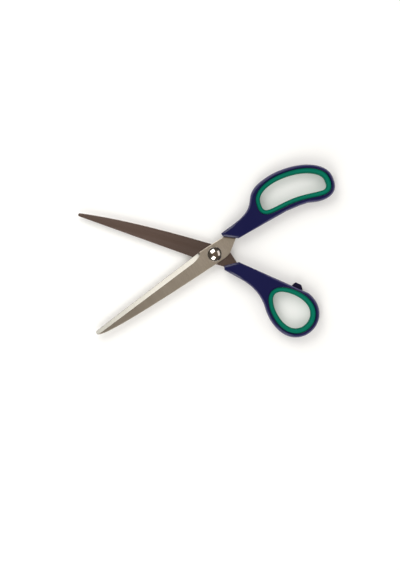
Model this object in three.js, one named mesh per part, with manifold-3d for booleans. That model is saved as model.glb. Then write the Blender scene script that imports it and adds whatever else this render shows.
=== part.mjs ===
// Household scissors lying open on a table: two ground steel blades on a riveted pivot, each with a
// moulded handle over its tang, a soft grip ring in the finger loop, and a rubber stop between the handles.
// Millimetres, +Z up. The origin is on the pivot axis, in the plane that the scissors lie on.
// +X runs along the closing line towards the handles, and +Y to the side of the finger loop.

import * as THREE from "three";
import { mergeVertices } from "three/addons/utils/BufferGeometryUtils.js";
import Module from "manifold-3d";

const { degToRad, lerp, smoothstep } = THREE.MathUtils;
const wasm = await Module();
wasm.setup();

// Driving dimensions of the pair
const restOpening = 49.6; // degrees between the blades as they lie
const handleThickness = 12;
const fitGap = 0.3; // between a moulding and the piece that it holds
const bladeGap = 0.3; // between the inner faces of the two blades

// Blades, measured from the pivot
const bladeReach = 126; // to the tip
const bladeThickness = 2;
const spineOffset = 8;
const heelReach = 9; // to the corner where the cutting edge starts
const tipEdgeOffset = 1; // of the cutting edge, at the tip
const spineTaperStart = 14;
const shoulderReach = 10.2; // to where the spine turns in towards the tang
const shoulderRound = 5;
const bevelReach = 12.2; // to where the grinding starts
const bevelWidth = 4.65; // at the heel
const bevelTipWidth = 3.6;
const bevelRunout = 10; // length in which the bevel grows to its full width
const edgeLand = 0.4; // thickness left at the cutting edge

// The front blade is a little wider at the heel and fuller at the tip than the back blade
const frontShape = { heelOffset: 9, tipRadius: 2, belly: 116.8 };
const backShape = { heelOffset: 8.4, tipRadius: 1.5, belly: 84 };

// Tangs, from where they leave the blade to their round ends inside the handles
const tangTopOffset = 8.5;
const tangTopReach = 17;
const fingerTang = { rootReach: 24, rootOffset: 1.8, endReach: 48, endOffset: 7, endWidth: 5 };
const thumbTang = { rootReach: 21.5, rootOffset: 1.9, endReach: 46, endOffset: 10.2, endWidth: 5 };
const tangHoleRadius = 1.7;
const tangHoleShares = [0.45, 0.85]; // of the way from the tang's root to its end

// Pivot
const shankRadius = 3;
const pivotClearance = 0.1;
const headRadius = 6.45;
const headRim = 0.4;
const headHeight = 3.1;
const washerRadius = 5.6;
const washerThickness = 0.8;
const tailRadius = 4.6;
const tailRound = 1.2;

// Finger loops: the opening inside the grip, as a rounded oval that can taper and bow
const fingerLoop = {
  x: 87.7, y: 6.3, halfLength: 30.25, halfWidth: 9.9, tilt: -14.3, taper: -0.05, bow: 6, fullness: 0.594,
};
const thumbLoop = {
  x: 78.15, y: 27.9, halfLength: 19.1, halfWidth: 12.85, tilt: 27, taper: 0.24, bow: 0, fullness: 0.98,
};
const gripWidth = 4.2;
const gripFlare = 0.25; // how much wider the grip is at the far end of its loop than at mid-length
const gripRecess = 0.35; // of the grip's faces below the handle's
const gripRound = 2.8;
const ribDepth = 1.2; // of the rib on the handle that keys the grip in place
const ribHeight = 3;

// Handles: the wall round the loop, and the neck from the loop to the blade
const fingerNeck = {
  wall: 7.5, inner: { x: 25.6, y: 0.05 }, nose: { x: 14.9, y: 9.2 }, outer: { x: 15, y: 12.15 },
  straight: 11.2, outerAngle: 2.4, neckPull: 36.5, loopPull: 34.5, joinLow: 0.833, joinHigh: 0.361,
};
const thumbNeck = {
  wall: 7.9, inner: { x: 22.6, y: 0.8 }, nose: { x: 10.9, y: 7.7 }, outer: { x: 12.2, y: 11 },
  straight: 8.1, outerAngle: 13.3, neckPull: 11.7, loopPull: 20.1, joinLow: 0.764, joinHigh: 0.389,
};
const frontEdgeRound = 1.5;
const frontEdgeEnd = 26; // where the softer edges of the front start to sharpen
const neckEdgeRound = 0.9;
const loopEdgeRound = 2.6;
const edgeBlendStart = 32;
const edgeBlendEnd = 62;

// Stop: a rubber buffer on the thumb handle meets a flat pad on the finger handle when the blades close
const stopReach = 78.7;
const stopOffset = -4.3; // of the meeting line from the closing line
const stopSlope = -0.18;
const padAhead = 4.6;
const padBehind = 7.6;
const bufferTop = 5.4;
const bufferFlank = 2.2;
const bufferHeight = 4.6;
const bufferSeat = 1.5; // depth of its pocket in the handle
const bufferRise = 3.2; // above the handle's edge

// Fineness of the facets
const loopSamples = 72;
const edgeSteps = 4;
const curveSteps = 12;
const turnSteps = 40;
const blendSteps = 6;
const weld = 1e-4;

const bladeInner = bladeGap / 2;
const bladeOuter = bladeInner + bladeThickness;
const midPlane = handleThickness / 2;
const overshoot = 3; // that a cutter runs past what it cuts

// Closed solids

function toSolid(geometry) {
  const loose = geometry.index ? geometry.toNonIndexed() : geometry;
  const bare = new THREE.BufferGeometry().setAttribute("position", loose.getAttribute("position"));
  const merged = mergeVertices(bare, weld);
  return new wasm.Manifold(
    new wasm.Mesh({
      numProp: 3,
      vertProperties: merged.attributes.position.array,
      triVerts: new Uint32Array(merged.index.array),
    }),
  );
}

function toGeometry(solid) {
  const { vertProperties, triVerts } = solid.getMesh();
  const geometry = new THREE.BufferGeometry();
  geometry.setAttribute("position", new THREE.BufferAttribute(vertProperties, 3));
  geometry.setIndex(new THREE.BufferAttribute(triVerts, 1));
  const faceted = geometry.toNonIndexed();
  faceted.computeVertexNormals();
  return faceted;
}

// Joins equal rings of points into one skin, which either closes on itself or gets a cap at each end.
function loft(rings, capPlane) {
  const size = rings[0].length;
  const spans = capPlane ? rings.length - 1 : rings.length;
  const index = [];
  for (let ring = 0; ring < spans; ring++) {
    const here = ring * size;
    const next = ((ring + 1) % rings.length) * size;
    for (let i = 0; i < size; i++) {
      const j = (i + 1) % size;
      index.push(here + i, here + j, next + j, here + i, next + j, next + i);
    }
  }
  if (capPlane) {
    const last = (rings.length - 1) * size;
    for (const [a, b, c] of THREE.ShapeUtils.triangulateShape(rings[0].map(capPlane), []))
      index.push(c, b, a);
    for (const [a, b, c] of THREE.ShapeUtils.triangulateShape(rings.at(-1).map(capPlane), []))
      index.push(last + a, last + b, last + c);
  }
  const geometry = new THREE.BufferGeometry().setFromPoints(rings.flat());
  geometry.setIndex(index);
  return geometry;
}

function plate(outline, low, high, holes = []) {
  const shape = new THREE.Shape(outline);
  for (const { x, y, radius } of holes)
    shape.holes.push(new THREE.Path().absarc(x, y, radius, 0, 2 * Math.PI, true));
  const settings = { depth: high - low, bevelEnabled: false, curveSegments: turnSteps / 2 };
  return toSolid(new THREE.ExtrudeGeometry(shape, settings).translate(0, 0, low));
}

function revolve(profile) {
  const points = profile.map(([radius, height]) => new THREE.Vector2(radius, height));
  return toSolid(new THREE.LatheGeometry(points, turnSteps).rotateX(Math.PI / 2));
}

// Outlines, which run anticlockwise

function outwardMiters(outline) {
  return outline.map((point, i) => {
    const before = new THREE.Vector2().subVectors(point, outline.at(i - 1)).normalize();
    const after = new THREE.Vector2().subVectors(outline[(i + 1) % outline.length], point).normalize();
    const miter = new THREE.Vector2(before.y + after.y, -before.x - after.x);
    return miter.divideScalar(1 + before.dot(after));
  });
}

function offset(outline, distance) {
  const miters = outwardMiters(outline);
  return outline.map((point, i) => point.clone().addScaledVector(miters[i], distance));
}

// The start of a straight stretch, and the points on it where the edge rounding changes.
function blendPoints(from, to) {
  const stations = Array.from({ length: blendSteps + 1 }, (_, i) =>
    lerp(edgeBlendStart, edgeBlendEnd, i / blendSteps),
  );
  const between = stations.filter((x) => x > from.x && x < to.x);
  return [from, ...between.map((x) => from.clone().lerp(to, (x - from.x) / (to.x - from.x)))];
}

// A plate with rounded edges, whose radius can change along the outline.
function roundedPlate(outline, thickness, edgeRadius) {
  const miters = outwardMiters(outline);
  const ringAt = (side, share) =>
    outline.map((point, i) => {
      const radius = edgeRadius(point);
      const turn = (share * Math.PI) / 2;
      const inset = point.clone().addScaledVector(miters[i], radius * (Math.cos(turn) - 1));
      return new THREE.Vector3(inset.x, inset.y, side * (thickness / 2 - radius + radius * Math.sin(turn)));
    });
  const shares = Array.from({ length: edgeSteps + 1 }, (_, i) => i / edgeSteps);
  const rings = [
    ...shares.toReversed().map((share) => ringAt(-1, share)),
    ...shares.map((share) => ringAt(1, share)),
  ];
  return toSolid(loft(rings, (p) => new THREE.Vector2(p.x, p.y)));
}

class LoopCurve extends THREE.Curve {
  constructor(loop) {
    super();
    this.loop = loop;
    this.arcLengthDivisions = 720;
  }

  getPoint(t, target = new THREE.Vector2()) {
    const { x, y, halfLength, halfWidth, tilt, taper, bow, fullness } = this.loop;
    const along = Math.cos(2 * Math.PI * t);
    const across = Math.sin(2 * Math.PI * t);
    const fullAlong = Math.sign(along) * Math.abs(along) ** fullness;
    const fullAcross = Math.sign(across) * Math.abs(across) ** fullness;
    const lift = halfWidth * fullAcross * (1 + taper * fullAlong) + bow * (1 - fullAlong ** 2);
    target.set(halfLength * fullAlong, lift).rotateAround(new THREE.Vector2(), degToRad(tilt));
    return target.add(new THREE.Vector2(x, y));
  }
}

// Samples of a loop's opening, each with its outward direction and the grip's width there.
function loopStations(loop) {
  const opening = new LoopCurve(loop).getSpacedPoints(loopSamples).slice(0, -1);
  const outward = outwardMiters(opening);
  const axis = new THREE.Vector2(1, 0).rotateAround(new THREE.Vector2(), degToRad(loop.tilt));
  return opening.map((point, i) => {
    const along = point.clone().sub(new THREE.Vector2(loop.x, loop.y)).dot(axis) / loop.halfLength;
    return { point, outward: outward[i].normalize(), width: gripWidth + gripFlare * along };
  });
}

function ringOutline(stations, distanceAt) {
  return stations.map((s) => s.point.clone().addScaledVector(s.outward, distanceAt(s)));
}

// Half frame: z = 0 is the plane between the blades. The blade runs to -x with its cutting edge towards
// +y and its bevel towards +z, and the handle runs to +x.

function edgeShare(reach) {
  return (reach - heelReach) / (bladeReach - heelReach);
}

function cuttingEdge({ heelOffset }, reach) {
  return lerp(heelOffset, tipEdgeOffset, edgeShare(reach));
}

function bladeOutline(blade, tang) {
  const { heelOffset, tipRadius, belly } = blade;
  const tipReach = bladeReach - tipRadius;
  const tipHeight = cuttingEdge(blade, tipReach) - tipRadius;
  const endRadius = tang.endWidth / 2;
  const shoulder = new THREE.Vector2(shoulderReach, -spineOffset);
  const root = new THREE.Vector2(tang.rootReach, tang.rootOffset);
  const afterShoulder = shoulder.clone().lerp(root, shoulderRound / shoulder.distanceTo(root));
  const shape = new THREE.Shape();
  shape.moveTo(tangTopReach, tangTopOffset);
  shape.lineTo(-heelReach, heelOffset);
  shape.absarc(-tipReach, tipHeight, tipRadius, Math.PI / 2, Math.PI * 1.4, false);
  shape.quadraticCurveTo(-belly, -spineOffset, -spineTaperStart, -spineOffset);
  shape.lineTo(shoulder.x - shoulderRound, shoulder.y);
  shape.quadraticCurveTo(shoulder.x, shoulder.y, afterShoulder.x, afterShoulder.y);
  shape.lineTo(root.x, root.y);
  shape.absarc(tang.endReach - endRadius, tang.endOffset, endRadius, -Math.PI / 2, Math.PI / 2, false);
  return shape.getPoints(curveSteps);
}

function tangHoles(tang, radius) {
  const root = new THREE.Vector2(tang.rootReach, (tang.rootOffset + tangTopOffset) / 2);
  const end = new THREE.Vector2(tang.endReach - tang.endWidth / 2, tang.endOffset);
  return tangHoleShares.map((share) => ({ ...root.clone().lerp(end, share), radius }));
}

// The wedge that a grinding wheel takes off the outer face along the cutting edge.
function bevelWedge(blade) {
  const runout = Array.from({ length: curveSteps + 1 }, (_, i) => (bevelRunout * i) / curveSteps);
  const reaches = [...runout.map((along) => bevelReach + along), bladeReach + overshoot];
  const sections = reaches.map((reach) => {
    const left = Math.max(0, 1 - (reach - bevelReach) / bevelRunout);
    const fullWidth = lerp(bevelWidth, bevelTipWidth, edgeShare(reach));
    const slope = (bladeThickness - edgeLand) / fullWidth;
    const width = fullWidth * Math.sqrt(1 - left ** 2);
    const edge = cuttingEdge(blade, reach);
    return [
      [edge - width, bladeOuter],
      [edge - width, bladeOuter + overshoot],
      [edge + overshoot, bladeOuter + overshoot],
      [edge + overshoot, bladeOuter - (width + overshoot) * slope],
    ].map(([y, z]) => new THREE.Vector3(-reach, y, z));
  });
  return toSolid(loft(sections, (p) => new THREE.Vector2(p.z, p.y)));
}

function bladeSolid(blade, tang) {
  const holes = [{ x: 0, y: 0, radius: shankRadius + pivotClearance }, ...tangHoles(tang, tangHoleRadius)];
  return plate(bladeOutline(blade, tang), bladeInner, bladeOuter, holes).subtract(bevelWedge(blade));
}

function handleOutline(neck, loop, edgePoints) {
  const stations = loopStations(loop);
  const rim = ringOutline(stations, () => neck.wall);
  const first = Math.round(neck.joinLow * loopSamples) - loopSamples;
  const last = Math.round(neck.joinHigh * loopSamples);
  const around = [];
  for (let i = first; i <= last; i++) around.push(rim.at(i));
  const leave = around.at(-1);
  const heading = new THREE.Vector2().subVectors(rim.at(last + 1), rim.at(last - 1)).normalize();
  const neckWay = new THREE.Vector2(1, 0).rotateAround(new THREE.Vector2(), degToRad(neck.outerAngle));
  const inner = new THREE.Vector2(neck.inner.x, neck.inner.y);
  const nose = new THREE.Vector2(neck.nose.x, neck.nose.y);
  const outer = new THREE.Vector2(neck.outer.x, neck.outer.y);
  const bend = outer.clone().addScaledVector(neckWay, neck.straight);
  const sweep = new THREE.CubicBezierCurve(
    leave,
    leave.clone().addScaledVector(heading, neck.loopPull),
    bend.clone().addScaledVector(neckWay, neck.neckPull),
    bend,
  );
  const edge = [inner, ...edgePoints, around[0]];
  const innerEdge = edge.slice(1).flatMap((point, i) => blendPoints(edge[i], point));
  return [...innerEdge, ...around, ...sweep.getSpacedPoints(2 * curveSteps).slice(1), outer, nose];
}

function handleEdgeRadius({ x }) {
  const neckRound = lerp(frontEdgeRound, neckEdgeRound, smoothstep(x, frontEdgeEnd, edgeBlendStart));
  return lerp(neckRound, loopEdgeRound, smoothstep(x, edgeBlendStart, edgeBlendEnd));
}

// The handle has a ribbed seat for the grip, and a pocket moulded round the tang and through its holes.
function handleSolid(neck, loop, blade, tang, edgePoints = []) {
  const stations = loopStations(loop);
  const seat = ringOutline(stations, (s) => s.width);
  const ribEdge = ringOutline(stations, (s) => s.width - ribDepth);
  const past = handleThickness / 2 + overshoot;
  const pocket = plate(
    offset(bladeOutline(blade, tang), fitGap),
    bladeInner - fitGap,
    bladeOuter + fitGap,
    tangHoles(tang, tangHoleRadius - fitGap),
  );
  return roundedPlate(handleOutline(neck, loop, edgePoints), handleThickness, handleEdgeRadius)
    .subtract(plate(seat, ribHeight / 2, past))
    .subtract(plate(seat, -past, -ribHeight / 2))
    .subtract(plate(ribEdge, -past, past))
    .subtract(pocket);
}

// The grip's section, from the opening outwards: round on the inside, grooved over the rib on the outside.
function gripSection(width) {
  const top = handleThickness / 2 - gripRecess;
  const back = width - fitGap;
  const groove = back - ribDepth;
  const lip = ribHeight / 2 + fitGap;
  const arc = Array.from({ length: edgeSteps + 1 }, (_, i) => {
    const turn = (i / edgeSteps) * (Math.PI / 2);
    return [gripRound * (1 - Math.cos(turn)), top - gripRound * (1 - Math.sin(turn))];
  });
  return [
    ...arc.toReversed().map(([e, z]) => [e, -z]),
    ...arc,
    [back, top],
    [back, lip],
    [groove, lip],
    [groove, -lip],
    [back, -lip],
    [back, -top],
  ];
}

function gripSolid(loop) {
  const rings = loopStations(loop).map(({ point, outward, width }) =>
    gripSection(width).map(
      ([e, z]) => new THREE.Vector3(point.x + outward.x * e, point.y + outward.y * e, z),
    ),
  );
  return toSolid(loft(rings));
}

// The line where buffer and pad meet, in the half frame of the finger side.
function stopLine(along) {
  return new THREE.Vector2(stopReach + along, stopOffset + stopSlope * along);
}

// The buffer in the half frame of the thumb side, whose y runs the other way.
function bufferOutline(grow) {
  const face = (along, depth) => {
    const { x, y } = stopLine(along);
    return new THREE.Vector2(x, depth + fitGap / 2 - y);
  };
  const head = bufferTop / 2;
  const foot = head + bufferFlank;
  const seatDepth = bufferRise + bufferSeat;
  return offset(
    [
      face(-head, 0),
      face(head, 0),
      face(foot, bufferRise),
      face(foot, seatDepth),
      face(-foot, seatDepth),
      face(-foot, bufferRise),
    ],
    grow,
  );
}

function bufferSolid(grow) {
  return plate(bufferOutline(grow), -bufferHeight / 2 - grow, bufferHeight / 2 + grow);
}

function rivetSolid() {
  const washerLow = -bladeOuter - pivotClearance - washerThickness;
  const tailTop = washerLow - pivotClearance;
  const headLow = bladeOuter + pivotClearance;
  const domeRise = headHeight - headRim;
  const domeRadius = (headRadius ** 2 + domeRise ** 2) / (2 * domeRise);
  const halfAngle = Math.asin(headRadius / domeRadius);
  const dome = Array.from({ length: curveSteps + 1 }, (_, i) => {
    const turn = halfAngle * (1 - i / curveSteps);
    return [domeRadius * Math.sin(turn), headLow + headHeight - domeRadius * (1 - Math.cos(turn))];
  });
  const tailEdge = Array.from({ length: edgeSteps + 1 }, (_, i) => {
    const turn = (i / edgeSteps) * (Math.PI / 2);
    return [
      tailRadius - tailRound * (1 - Math.sin(turn)),
      -midPlane + tailRound * (1 - Math.cos(turn)),
    ];
  });
  return revolve([
    [0, -midPlane],
    ...tailEdge,
    [tailRadius, tailTop],
    [shankRadius, tailTop],
    [shankRadius, headLow],
    [headRadius, headLow],
    ...dome,
  ]);
}

function washerSolid() {
  const high = -bladeOuter - pivotClearance;
  const bore = shankRadius + pivotClearance;
  return revolve([
    [bore, high - washerThickness],
    [washerRadius, high - washerThickness],
    [washerRadius, high],
    [bore, high],
    [bore, high - washerThickness],
  ]);
}

// Finishes

const steel = new THREE.MeshStandardMaterial({ color: 0x9a9184, metalness: 1, roughness: 0.35 });
const darkSteel = new THREE.MeshStandardMaterial({ color: 0x8d857c, metalness: 1, roughness: 0.22 });
const polished = new THREE.MeshStandardMaterial({ color: 0xd9d6d0, metalness: 1, roughness: 0.08 });
const navyPlastic = new THREE.MeshStandardMaterial({ color: 0x20224a, metalness: 0, roughness: 0.42 });
const greenRubber = new THREE.MeshStandardMaterial({ color: 0x0f7d64, metalness: 0, roughness: 0.6 });
const darkRubber = new THREE.MeshStandardMaterial({ color: 0x14122c, metalness: 0, roughness: 0.7 });

function piece(name, solid, material) {
  const mesh = new THREE.Mesh(toGeometry(solid), material);
  mesh.name = name;
  return mesh;
}

// Assembly: the thumb half is built like the finger half and turned over.

const halfOpening = degToRad(restOpening / 2);
const padPoints = [stopLine(-padAhead), stopLine(padBehind)];
padPoints.forEach((point) => point.add(new THREE.Vector2(0, fitGap / 2)));

const fingerHalf = new THREE.Group();
fingerHalf.position.z = midPlane;
fingerHalf.rotation.z = halfOpening;
fingerHalf.add(
  piece("front_blade", bladeSolid(frontShape, fingerTang), steel),
  piece(
    "finger_handle",
    handleSolid(fingerNeck, fingerLoop, frontShape, fingerTang, padPoints),
    navyPlastic,
  ),
  piece("finger_grip", gripSolid(fingerLoop), greenRubber),
);

const thumbHalf = new THREE.Group();
thumbHalf.position.z = midPlane;
thumbHalf.rotation.set(Math.PI, 0, -halfOpening, "ZYX");
thumbHalf.add(
  piece("back_blade", bladeSolid(backShape, thumbTang), darkSteel),
  piece(
    "thumb_handle",
    handleSolid(thumbNeck, thumbLoop, backShape, thumbTang).subtract(bufferSolid(fitGap)),
    navyPlastic,
  ),
  piece("thumb_grip", gripSolid(thumbLoop), greenRubber),
  piece("stop_buffer", bufferSolid(0), darkRubber),
);

const pivot = new THREE.Group();
pivot.position.z = midPlane;
pivot.add(piece("pivot_rivet", rivetSolid(), polished), piece("rivet_washer", washerSolid(), steel));

const scissors = new THREE.Group();
scissors.name = "household_scissors";
scissors.add(fingerHalf, thumbHalf, pivot);

export default scissors;
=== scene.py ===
import bpy
import bmesh
import math
from mathutils import Matrix, Vector
from mathutils.kdtree import KDTree


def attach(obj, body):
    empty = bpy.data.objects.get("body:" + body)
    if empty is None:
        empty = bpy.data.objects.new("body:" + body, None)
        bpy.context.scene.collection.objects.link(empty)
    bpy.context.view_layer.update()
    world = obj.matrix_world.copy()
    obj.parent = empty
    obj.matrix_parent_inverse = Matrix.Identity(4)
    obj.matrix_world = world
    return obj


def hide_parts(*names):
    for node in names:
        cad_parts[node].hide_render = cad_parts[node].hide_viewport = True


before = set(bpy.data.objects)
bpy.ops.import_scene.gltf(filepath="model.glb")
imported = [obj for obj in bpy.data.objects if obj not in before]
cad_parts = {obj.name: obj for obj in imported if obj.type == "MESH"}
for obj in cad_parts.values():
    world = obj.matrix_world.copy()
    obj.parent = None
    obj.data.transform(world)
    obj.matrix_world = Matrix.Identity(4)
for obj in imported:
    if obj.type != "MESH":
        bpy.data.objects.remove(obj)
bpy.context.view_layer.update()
print("frame loaded with", len(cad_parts), "nodes")

mm = 0.001  # pieces are shaped in millimetres, then placed in metres

# the pair, as it lies
pair = {
    "opening": 49.6,  # degrees between the blades
    "handleThickness": 12.0,
    "bladeGap": 0.3,
    "fitGap": 0.3,
}
midPlane = pair["handleThickness"] / 2
halfTurn = math.radians(pair["opening"] / 2)
lift = Matrix.Translation((0, 0, midPlane * mm))
size = Matrix.Scale(mm, 4)
fingerPlace = lift @ Matrix.Rotation(halfTurn, 4, "Z") @ size
thumbPlace = lift @ Matrix.Rotation(-halfTurn, 4, "Z") @ Matrix.Rotation(math.pi, 4, "X") @ size
pivotPlace = lift @ size
# the mouth of each moulding, from its nose to its inner edge
mouths = {"finger": ((14.9, 9.2), (25.6, 0.05)), "thumb": ((10.9, 7.7), (22.6, 0.8))}


# rings of points, lofted by extruding one ring after the other
def startRing(name, count):
    bpy.ops.object.select_all(action="DESELECT")
    bpy.ops.mesh.primitive_circle_add(vertices=count, radius=1)
    piece = bpy.context.object
    piece.name = piece.data.name = name
    bpy.ops.object.mode_set(mode="EDIT")
    cage = bmesh.from_edit_mesh(piece.data)
    station = cage.verts.layers.int.new("station")
    cage.verts.ensure_lookup_table()
    for i, v in enumerate(cage.verts):
        v[station] = i
    return piece


def addRing(piece, count):
    bpy.ops.mesh.select_all(action="DESELECT")
    bpy.ops.mesh.primitive_circle_add(vertices=count, radius=1)
    cage = bmesh.from_edit_mesh(piece.data)
    station = cage.verts.layers.int["station"]
    fresh = sorted((v for v in cage.verts if v.select), key=lambda v: v.index)
    for i, v in enumerate(fresh):
        v[station] = i


def placeRing(piece, ring):
    cage = bmesh.from_edit_mesh(piece.data)
    station = cage.verts.layers.int["station"]
    for v in cage.verts:
        if v.select:
            v.co = ring[v[station]]
    bmesh.update_edit_mesh(piece.data)


def growRings(piece, rings):
    placeRing(piece, rings[0])
    for ring in rings[1:]:
        bpy.ops.mesh.extrude_region_move()
        placeRing(piece, ring)


def selectOpenEdges(piece, where=lambda p: True):
    bpy.ops.mesh.select_mode(type="EDGE")
    bpy.ops.mesh.select_all(action="DESELECT")
    cage = bmesh.from_edit_mesh(piece.data)
    for e in cage.edges:
        if len(e.link_faces) < 2 and where((e.verts[0].co + e.verts[1].co) / 2):
            e.select_set(True)
    cage.select_flush_mode()
    bmesh.update_edit_mesh(piece.data)


def capEnds(piece, axis, middle=0.0):
    # a face over each open end, on either side of the middle
    for side in (-1, 1):
        selectOpenEdges(piece, lambda p: (p[axis] - middle) * side > 0)
        bpy.ops.mesh.edge_face_add()


cleanUp = {"mergeWithin": 0.002, "dropUnder": 0.001}  # millimetres


def closeUp(piece):
    bpy.ops.mesh.select_mode(type="VERT")
    bpy.ops.mesh.select_all(action="SELECT")
    bpy.ops.mesh.remove_doubles(threshold=cleanUp["mergeWithin"])
    bpy.ops.mesh.dissolve_degenerate(threshold=cleanUp["dropUnder"])
    bpy.ops.mesh.select_all(action="SELECT")
    bpy.ops.mesh.normals_make_consistent(inside=False)
    bpy.ops.object.mode_set(mode="OBJECT")


def pick(piece):
    bpy.ops.object.select_all(action="DESELECT")
    piece.select_set(True)
    bpy.context.view_layer.objects.active = piece


def cutWith(piece, cutter):
    cut = piece.modifiers.new("cut", "BOOLEAN")
    cut.operation, cut.solver, cut.object = "DIFFERENCE", "EXACT", cutter
    pick(piece)
    bpy.ops.object.modifier_apply(modifier="cut")
    bpy.data.objects.remove(cutter, do_unlink=True)


def softenEdges(piece, width, segments, angle):
    soft = piece.modifiers.new("soft", "BEVEL")
    soft.width, soft.segments, soft.limit_method = width, segments, "ANGLE"
    soft.angle_limit = math.radians(angle)
    pick(piece)
    bpy.ops.object.modifier_apply(modifier="soft")


def seatPiece(piece, place, smoothAngle, materials, body, node):
    if "station" in piece.data.attributes:
        piece.data.attributes.remove(piece.data.attributes["station"])
    piece.data.transform(place)
    piece.data.update()
    pick(piece)
    bpy.ops.object.shade_smooth_by_angle(angle=math.radians(smoothAngle))
    for material in materials:
        piece.data.materials.append(material)
    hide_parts(node)
    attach(piece, body)
    print("made", piece.name, len(piece.data.polygons), "faces")


def revolve(name, profile, turns):
    angles = [2 * math.pi * i / turns for i in range(turns)]
    rings = [[Vector((r * math.cos(a), r * math.sin(a), z)) for a in angles] for r, z in profile]
    piece = startRing(name, turns)
    growRings(piece, rings)
    return piece


def arcPoints(centre, radius, start, end, steps):
    turns = [math.radians(start + (end - start) * i / steps) for i in range(steps + 1)]
    return [(centre[0] + radius * math.cos(t), centre[1] + radius * math.sin(t)) for t in turns]


# outlines run anticlockwise, each point with the way out of it
def waysOut(points):
    ways = []
    for i, p in enumerate(points):
        before = (p - points[i - 1]).normalized()
        after = (points[(i + 1) % len(points)] - p).normalized()
        way = Vector((before.y + after.y, -before.x - after.x))
        ways.append(way / (1 + before.dot(after)))
    return ways


def smoothStep(x, low, high):
    s = min(1.0, max(0.0, (x - low) / (high - low)))
    return s * s * (3 - 2 * s)


# materials
noiseSpan = (0.3, 0.7)  # where most values of a noise lie
bandScale = 0.12  # of the grinding lines' own scale


def socketed(tree, kind, place, **values):
    node = tree.nodes.new(kind)
    node.location = place
    for key, value in values.items():
        if hasattr(node, key):
            setattr(node, key, value)
        else:
            node.inputs[key.replace("_", " ")].default_value = value
    return node


def newGroup(name, ins, outs):
    group = bpy.data.node_groups.new(name, "ShaderNodeTree")
    for label, kind, value in ins:
        sock = group.interface.new_socket(label, in_out="INPUT", socket_type=kind)
        sock.default_value = value
    for label, kind in outs:
        group.interface.new_socket(label, in_out="OUTPUT", socket_type=kind)
    start = socketed(group, "NodeGroupInput", (-900, 0))
    end = socketed(group, "NodeGroupOutput", (600, 0))
    return group, start, end


def makeGrainGroup():
    # even speckle of a moulded skin, fine and coarse together
    group, start, end = newGroup(
        "mouldedGrain",
        [("Fine Scale", "NodeSocketFloat", 4000.0), ("Patch Scale", "NodeSocketFloat", 60.0)],
        [("Grain", "NodeSocketFloat"), ("Patches", "NodeSocketFloat")],
    )
    where = socketed(group, "ShaderNodeTexCoord", (-900, 300))
    fine = socketed(group, "ShaderNodeTexNoise", (-300, 200), Detail=3.0, Roughness=0.6)
    patch = socketed(group, "ShaderNodeTexNoise", (-300, -200), Detail=4.0, Roughness=0.55)
    link = group.links.new
    link(where.outputs["Object"], fine.inputs["Vector"])
    link(where.outputs["Object"], patch.inputs["Vector"])
    link(start.outputs["Fine Scale"], fine.inputs["Scale"])
    link(start.outputs["Patch Scale"], patch.inputs["Scale"])
    link(fine.outputs["Fac"], end.inputs["Grain"])
    link(patch.outputs["Fac"], end.inputs["Patches"])
    return group


def makeLinesGroup():
    # streaks left by a grinding belt: noise pulled long in one direction
    group, start, end = newGroup(
        "grindLines",
        [
            ("Turn", "NodeSocketVector", (0, 0, 0)),
            ("Stretch", "NodeSocketVector", (1, 1, 1)),
            ("Scale", "NodeSocketFloat", 1.0),
        ],
        [("Lines", "NodeSocketFloat"), ("Bands", "NodeSocketFloat")],
    )
    where = socketed(group, "ShaderNodeTexCoord", (-900, 300))
    turn = socketed(group, "ShaderNodeMapping", (-650, 200))
    pull = socketed(group, "ShaderNodeVectorMath", (-450, 200), operation="MULTIPLY")
    lines = socketed(group, "ShaderNodeTexNoise", (-200, 200), Detail=5.0, Roughness=0.7)
    broad = socketed(group, "ShaderNodeMath", (-450, -200), operation="MULTIPLY")
    broad.inputs[1].default_value = bandScale
    bands = socketed(group, "ShaderNodeTexNoise", (-200, -200), Detail=3.0, Roughness=0.5)
    link = group.links.new
    link(where.outputs["Object"], turn.inputs["Vector"])
    link(start.outputs["Turn"], turn.inputs["Rotation"])
    link(turn.outputs["Vector"], pull.inputs[0])
    link(start.outputs["Stretch"], pull.inputs[1])
    link(pull.outputs["Vector"], lines.inputs["Vector"])
    link(pull.outputs["Vector"], bands.inputs["Vector"])
    link(start.outputs["Scale"], lines.inputs["Scale"])
    link(start.outputs["Scale"], broad.inputs[0])
    link(broad.outputs["Value"], bands.inputs["Scale"])
    link(lines.outputs["Fac"], end.inputs["Lines"])
    link(bands.outputs["Fac"], end.inputs["Bands"])
    return group


def makeRimShadingGroup():
    # painted highlight with rubbed wear on the handles' rims, painted shade on the grips' rims; strong on
    # the rounded rims, broken up by noise
    group, start, end = newGroup(
        "shadedAndRubbedEdges",
        [("Amount", "NodeSocketFloat", 0.5), ("Scale", "NodeSocketFloat", 300.0)],
        [("ShadingAndWear", "NodeSocketFloat")],
    )
    where = socketed(group, "ShaderNodeTexCoord", (-900, 300))
    rim = socketed(group, "ShaderNodeAttribute", (-900, -200), attribute_name="rim")
    noise = socketed(group, "ShaderNodeTexNoise", (-500, 200), Detail=4.0, Roughness=0.65)
    broken = socketed(
        group, "ShaderNodeMapRange", (-250, 200), From_Min=0.3, From_Max=0.75, To_Min=0.55
    )
    both = socketed(group, "ShaderNodeMath", (0, 0), operation="MULTIPLY")
    much = socketed(group, "ShaderNodeMath", (250, 0), operation="MULTIPLY")
    link = group.links.new
    link(where.outputs["Object"], noise.inputs["Vector"])
    link(start.outputs["Scale"], noise.inputs["Scale"])
    link(noise.outputs["Fac"], broken.inputs["Value"])
    link(broken.outputs["Result"], both.inputs[0])
    link(rim.outputs["Fac"], both.inputs[1])
    link(both.outputs["Value"], much.inputs[0])
    link(start.outputs["Amount"], much.inputs[1])
    link(much.outputs["Value"], end.inputs["ShadingAndWear"])
    return group


grainGroup = makeGrainGroup()
linesGroup = makeLinesGroup()
rimShadingGroup = makeRimShadingGroup()


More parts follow.
